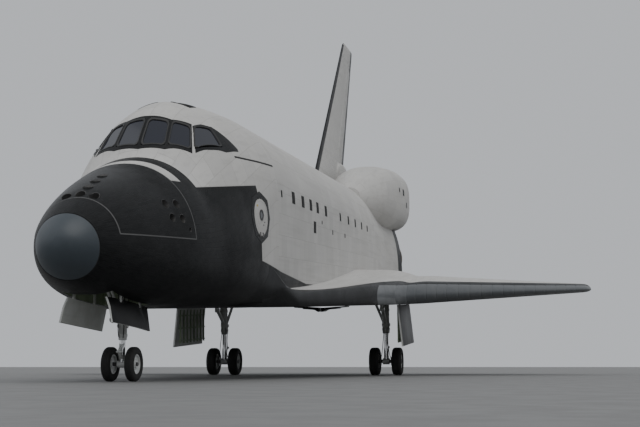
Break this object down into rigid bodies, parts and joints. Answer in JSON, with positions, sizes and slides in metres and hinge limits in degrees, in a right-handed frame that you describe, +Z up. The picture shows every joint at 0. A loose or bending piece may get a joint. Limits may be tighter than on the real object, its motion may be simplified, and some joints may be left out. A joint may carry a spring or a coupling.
{
  "type": "space shuttle orbiter",
  "caption": "Winged reusable spaceplane with crew cabin, payload bay, delta wing, fin, rocket engines and landing gear, parked on its wheels.",
  "frame": {"origin": "Middle of the ground under the craft's bounding box, on the floor its tyres stand on.", "axes": "+X from the nose to the tail, +Y to starboard, +Z up; the left side is port, at -Y."},
  "size_m": [36.4284, 23.774, 17.2491],
  "materials": {
    "black_tile": "matte",
    "white_tile": "matte",
    "grey_carbon": "satin",
    "glazing": "gloss",
    "structure": "satin",
    "nozzle": "satin",
    "gear_paint": "satin",
    "tyre_rubber": "matte",
    "seat_fabric": "matte"
  },
  "bodies": {
    "airframe": {"nose_cap": "grey_carbon", "forward_fuselage": "black_tile", "forward_thruster_module": "black_tile", "windshield_glazing": "glazing", "overhead_glazing": "glazing", "flight_deck": "structure", "commander_seat": "seat_fabric", "pilot_seat": "seat_fabric", "mid_fuselage": "white_tile", "aft_fuselage": "white_tile", "left_wing": "black_tile", "left_leading_edge": "grey_carbon", "left_pod": "white_tile", "left_pod_engine": "nozzle", "left_main_gear_door": "black_tile", "left_main_gear_leg": "gear_paint", "left_nose_gear_door": "black_tile", "right_wing": "black_tile", "right_leading_edge": "grey_carbon", "right_pod": "white_tile", "right_pod_engine": "nozzle", "right_main_gear_door": "black_tile", "right_main_gear_leg": "gear_paint", "right_nose_gear_door": "black_tile", "upper_main_engine": "nozzle", "left_main_engine": "nozzle", "right_main_engine": "nozzle", "nose_gear_leg": "gear_paint", "fin": "white_tile"},
    "nose_fork": {"nose_gear_fork": "gear_paint"},
    "nose_wheels": {"left_nose_tyre": "tyre_rubber", "right_nose_tyre": "tyre_rubber", "left_nose_wheel": "gear_paint", "right_nose_wheel": "gear_paint"},
    "left_main_wheels": {"left_main_tyre_inner": "tyre_rubber", "left_main_tyre_outer": "tyre_rubber", "left_main_wheel_inner": "gear_paint", "left_main_wheel_outer": "gear_paint"},
    "left_inboard_elevon": {"left_inboard_elevon": "black_tile"},
    "left_outboard_elevon": {"left_outboard_elevon": "black_tile"},
    "left_rudder_panel": {"left_rudder_panel": "white_tile"},
    "left_bay_door": {"left_bay_door": "white_tile"},
    "left_umbilical_door": {"left_umbilical_door": "black_tile"},
    "right_main_wheels": {"right_main_tyre_inner": "tyre_rubber", "right_main_tyre_outer": "tyre_rubber", "right_main_wheel_inner": "gear_paint", "right_main_wheel_outer": "gear_paint"},
    "right_inboard_elevon": {"right_inboard_elevon": "black_tile"},
    "right_outboard_elevon": {"right_outboard_elevon": "black_tile"},
    "right_rudder_panel": {"right_rudder_panel": "white_tile"},
    "right_bay_door": {"right_bay_door": "white_tile"},
    "right_umbilical_door": {"right_umbilical_door": "black_tile"},
    "body_flap": {"body_flap": "black_tile"},
    "rudder_shaft": {"rudder_shaft": "structure"},
    "crew_hatch": {"crew_hatch": "white_tile"}
  },
  "joints": [
    {"name": "nose_steering", "type": "hinge", "parent": "airframe", "child": "nose_fork", "pos_m": [-14.47648, 0, 0.406], "axis": [0, 0, 1], "range_deg": [-10, 10]},
    {"name": "nose_wheel_spin", "type": "hinge", "parent": "nose_fork", "child": "nose_wheels", "pos_m": [-14.47648, 0, 0.406], "axis": [0, 1, 0], "continuous": true},
    {"name": "left_main_wheel_spin", "type": "hinge", "parent": "airframe", "child": "left_main_wheels", "pos_m": [6.0787, -3.454, 0.565], "axis": [0, 1, 0], "continuous": true},
    {"name": "right_main_wheel_spin", "type": "hinge", "parent": "airframe", "child": "right_main_wheels", "pos_m": [6.0787, 3.454, 0.565], "axis": [0, 1, 0], "continuous": true},
    {"name": "left_inboard_elevon_hinge", "type": "hinge", "parent": "airframe", "child": "left_inboard_elevon", "pos_m": [11.02966, -5.725, 3.60419], "axis": [0.0011, 0.9998, -0.0182], "range_deg": [-40, 25]},
    {"name": "left_outboard_elevon_hinge", "type": "hinge", "parent": "airframe", "child": "left_outboard_elevon", "pos_m": [11.02352, -9.775, 3.70758], "axis": [0.002, 0.9995, -0.0331], "range_deg": [-40, 25]},
    {"name": "right_inboard_elevon_hinge", "type": "hinge", "parent": "airframe", "child": "right_inboard_elevon", "pos_m": [11.02966, 5.725, 3.60419], "axis": [-0.0011, 0.9998, 0.0182], "range_deg": [-40, 25]},
    {"name": "right_outboard_elevon_hinge", "type": "hinge", "parent": "airframe", "child": "right_outboard_elevon", "pos_m": [11.02352, 9.775, 3.70758], "axis": [-0.002, 0.9995, 0.0331], "range_deg": [-40, 25]},
    {"name": "body_flap_hinge", "type": "hinge", "parent": "airframe", "child": "body_flap", "pos_m": [14.66937, 0, 3.63288], "axis": [0, 1, 0], "range_deg": [-11.7, 22.5]},
    {"name": "rudder", "type": "hinge", "parent": "airframe", "child": "rudder_shaft", "pos_m": [13.29797, 0, 10.90835], "axis": [0.5215, 0, 0.8533], "range_deg": [-27.1, 27.1]},
    {"name": "right_speed_brake", "type": "hinge", "parent": "rudder_shaft", "child": "right_rudder_panel", "pos_m": [13.29797, 0, 10.90835], "axis": [0.5215, 0, 0.8533], "range_deg": [0, 49.3]},
    {"name": "left_speed_brake", "type": "hinge", "parent": "rudder_shaft", "child": "left_rudder_panel", "pos_m": [13.29797, 0, 10.90835], "axis": [0.5215, 0, 0.8533], "range_deg": [-49.3, 0]},
    {"name": "right_bay_door_hinge", "type": "hinge", "parent": "airframe", "child": "right_bay_door", "pos_m": [-0.43538, 2.596, 5.99623], "axis": [-0.9982, 0, -0.0593], "range_deg": [0, 175.5]},
    {"name": "left_bay_door_hinge", "type": "hinge", "parent": "airframe", "child": "left_bay_door", "pos_m": [-0.43538, -2.596, 5.99623], "axis": [0.9982, 0, 0.0593], "range_deg": [0, 175.5]},
    {"name": "crew_hatch_hinge", "type": "hinge", "parent": "airframe", "child": "crew_hatch", "pos_m": [-11.25372, -2.50505, 3.75869], "axis": [0.9954, -0.0751, 0.0591], "range_deg": [0, 90]},
    {"name": "right_umbilical_door_hinge", "type": "hinge", "parent": "airframe", "child": "right_umbilical_door", "pos_m": [9.88272, 1.18, 3.09705], "axis": [0.9982, 0, 0.0593], "range_deg": [0, 176]},
    {"name": "left_umbilical_door_hinge", "type": "hinge", "parent": "airframe", "child": "left_umbilical_door", "pos_m": [9.88272, -1.18, 3.09705], "axis": [-0.9982, 0, -0.0593], "range_deg": [0, 176]}
  ],
  "couplings": [
    {"joint": "left_speed_brake", "follows": "right_speed_brake", "ratio": -1}
  ]
}
